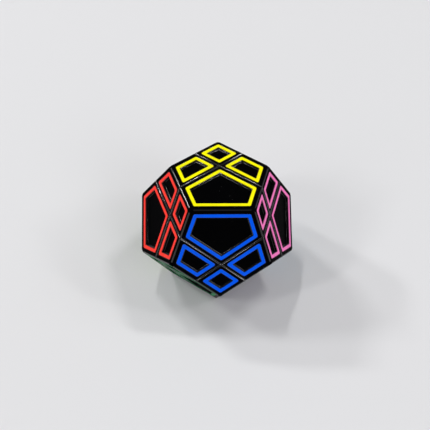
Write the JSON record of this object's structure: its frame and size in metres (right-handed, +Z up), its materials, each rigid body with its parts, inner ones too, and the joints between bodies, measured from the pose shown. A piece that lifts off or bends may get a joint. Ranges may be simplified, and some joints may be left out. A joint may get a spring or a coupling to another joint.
{
  "type": "dodecahedron twisty puzzle",
  "caption": "Dodecahedron puzzle whose halves turn about four slanted axes; black shell with hollow frame-shaped colour stickers on every face.",
  "frame": {"origin": "middle of the face it stands on, on the ground", "axes": "+Z up through the middles of the bottom and top faces, -Y towards the side shown in front, +X to that side's right"},
  "size_m": [0.081, 0.0846, 0.069],
  "materials": {
    "cap_plastic": "moulded black plastic, semi-gloss",
    "foot_plastic": "moulded dark plastic, satin where it slides",
    "core_plastic": "moulded pale plastic",
    "screw_steel": "zinc-plated steel",
    "spring_steel": "drawn steel wire",
    "sticker_film": "smooth vinyl film, one plain colour to each face"
  },
  "bodies": {
    "core": {"core": "core_plastic", "screws": "screw_steel", "washers": "screw_steel", "springs": "spring_steel"},
    "fixed_corner_1": {"fixed_corner_1_cap": "cap_plastic", "fixed_corner_1_base": "foot_plastic", "fixed_corner_1_stickers": "sticker_film"},
    "fixed_corner_2": {"fixed_corner_2_cap": "cap_plastic", "fixed_corner_2_base": "foot_plastic", "fixed_corner_2_stickers": "sticker_film"},
    "fixed_corner_3": {"fixed_corner_3_cap": "cap_plastic", "fixed_corner_3_base": "foot_plastic", "fixed_corner_3_stickers": "sticker_film"},
    "fixed_corner_4": {"fixed_corner_4_cap": "cap_plastic", "fixed_corner_4_base": "foot_plastic", "fixed_corner_4_stickers": "sticker_film"},
    "free_corner_1": {"free_corner_1_cap": "cap_plastic", "free_corner_1_foot": "foot_plastic", "free_corner_1_stickers": "sticker_film"},
    "free_corner_2": {"free_corner_2_cap": "cap_plastic", "free_corner_2_foot": "foot_plastic", "free_corner_2_stickers": "sticker_film"},
    "free_corner_3": {"free_corner_3_cap": "cap_plastic", "free_corner_3_foot": "foot_plastic", "free_corner_3_stickers": "sticker_film"},
    "free_corner_4": {"free_corner_4_cap": "cap_plastic", "free_corner_4_foot": "foot_plastic", "free_corner_4_stickers": "sticker_film"},
    "centre_1": {"centre_1_cap": "cap_plastic", "centre_1_foot": "foot_plastic", "centre_1_stickers": "sticker_film"},
    "centre_2": {"centre_2_cap": "cap_plastic", "centre_2_foot": "foot_plastic", "centre_2_stickers": "sticker_film"},
    "centre_3": {"centre_3_cap": "cap_plastic", "centre_3_foot": "foot_plastic", "centre_3_stickers": "sticker_film"},
    "centre_4": {"centre_4_cap": "cap_plastic", "centre_4_foot": "foot_plastic", "centre_4_stickers": "sticker_film"},
    "centre_5": {"centre_5_cap": "cap_plastic", "centre_5_foot": "foot_plastic", "centre_5_stickers": "sticker_film"},
    "centre_6": {"centre_6_cap": "cap_plastic", "centre_6_foot": "foot_plastic", "centre_6_stickers": "sticker_film"}
  },
  "joints": [
    {"name": "axis_1_turn", "type": "hinge", "parent": "core", "child": "fixed_corner_1", "pos_m": [0, 0, 0.03452], "axis": [0.5774, 0.7947, -0.1876], "range_deg": [-360, 360]},
    {"name": "axis_2_turn", "type": "hinge", "parent": "core", "child": "fixed_corner_2", "pos_m": [0, 0, 0.03452], "axis": [0.5774, -0.7947, 0.1876], "range_deg": [-360, 360]},
    {"name": "axis_3_turn", "type": "hinge", "parent": "core", "child": "fixed_corner_3", "pos_m": [0, 0, 0.03452], "axis": [-0.5774, -0.1876, -0.7947], "range_deg": [-360, 360]},
    {"name": "axis_4_turn", "type": "hinge", "parent": "core", "child": "fixed_corner_4", "pos_m": [0, 0, 0.03452], "axis": [-0.5774, 0.1876, 0.7947], "continuous": true},
    {"name": "centre_5_with_axis_1", "type": "hinge", "parent": "fixed_corner_4", "child": "centre_5", "pos_m": [0, 0, 0.03452], "axis": [0.5774, 0.7947, -0.1876], "range_deg": [-360, 360]},
    {"name": "centre_4_with_axis_2", "type": "hinge", "parent": "fixed_corner_4", "child": "centre_4", "pos_m": [0, 0, 0.03452], "axis": [0.5774, -0.7947, 0.1876], "range_deg": [-360, 360]},
    {"name": "centre_2_with_axis_3", "type": "hinge", "parent": "fixed_corner_4", "child": "centre_2", "pos_m": [0, 0, 0.03452], "axis": [-0.5774, -0.1876, -0.7947], "range_deg": [-360, 360]},
    {"name": "centre_1_with_axis_2", "type": "hinge", "parent": "fixed_corner_1", "child": "centre_1", "pos_m": [0, 0, 0.03452], "axis": [0.5774, -0.7947, 0.1876], "range_deg": [-360, 360]},
    {"name": "centre_3_with_axis_3", "type": "hinge", "parent": "fixed_corner_1", "child": "centre_3", "pos_m": [0, 0, 0.03452], "axis": [-0.5774, -0.1876, -0.7947], "range_deg": [-360, 360]},
    {"name": "centre_6_with_axis_3", "type": "hinge", "parent": "fixed_corner_2", "child": "centre_6", "pos_m": [0, 0, 0.03452], "axis": [-0.5774, -0.1876, -0.7947], "range_deg": [-360, 360]},
    {"name": "free_corner_1_with_axis_3", "type": "hinge", "parent": "centre_4", "child": "free_corner_1", "pos_m": [0, 0, 0.03452], "axis": [-0.5774, -0.1876, -0.7947], "range_deg": [-360, 360]},
    {"name": "free_corner_2_with_axis_3", "type": "hinge", "parent": "centre_5", "child": "free_corner_2", "pos_m": [0, 0, 0.03452], "axis": [-0.5774, -0.1876, -0.7947], "range_deg": [-360, 360]},
    {"name": "free_corner_3_with_axis_2", "type": "hinge", "parent": "centre_5", "child": "free_corner_3", "pos_m": [0, 0, 0.03452], "axis": [0.5774, -0.7947, 0.1876], "range_deg": [-360, 360]},
    {"name": "free_corner_4_with_axis_3", "type": "hinge", "parent": "centre_1", "child": "free_corner_4", "pos_m": [0, 0, 0.03452], "axis": [-0.5774, -0.1876, -0.7947], "range_deg": [-360, 360]}
  ],
  "couplings": [
    {"joint": "centre_5_with_axis_1", "follows": "axis_1_turn", "ratio": 1},
    {"joint": "centre_4_with_axis_2", "follows": "axis_2_turn", "ratio": 1},
    {"joint": "centre_2_with_axis_3", "follows": "axis_3_turn", "ratio": 1},
    {"joint": "centre_1_with_axis_2", "follows": "axis_2_turn", "ratio": 1},
    {"joint": "centre_3_with_axis_3", "follows": "axis_3_turn", "ratio": 1},
    {"joint": "centre_6_with_axis_3", "follows": "axis_3_turn", "ratio": 1},
    {"joint": "free_corner_1_with_axis_3", "follows": "axis_3_turn", "ratio": 1},
    {"joint": "free_corner_2_with_axis_3", "follows": "axis_3_turn", "ratio": 1},
    {"joint": "free_corner_3_with_axis_2", "follows": "axis_2_turn", "ratio": 1},
    {"joint": "free_corner_4_with_axis_3", "follows": "axis_3_turn", "ratio": 1}
  ]
}
